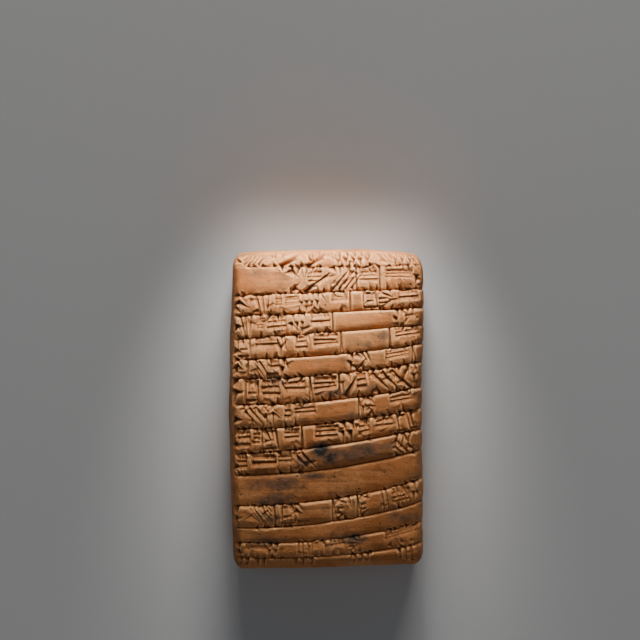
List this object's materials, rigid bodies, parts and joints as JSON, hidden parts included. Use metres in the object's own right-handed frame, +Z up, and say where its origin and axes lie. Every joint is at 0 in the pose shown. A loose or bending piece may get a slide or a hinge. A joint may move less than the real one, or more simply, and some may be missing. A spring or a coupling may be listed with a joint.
{
  "type": "cuneiform tablet",
  "caption": "Flat-backed clay writing tablet with a swelling face, its rows of wedge-shaped stylus strokes ruled off by pressed lines and running on over the edges.",
  "frame": {"origin": "middle of the tablet's bounding box, at the flat underside", "axes": "+Z up out of the written face, +Y towards the tablet's head, +X along the rows from left to right"},
  "size_m": [0.0608, 0.1002, 0.0259],
  "materials": {
    "clay": "unglazed baked clay, rough and dry, paler on worn edges and darker in the strokes, with a few grey and black stains"
  },
  "bodies": {
    "root": {"clay_tablet": "clay"}
  },
  "joints": []
}
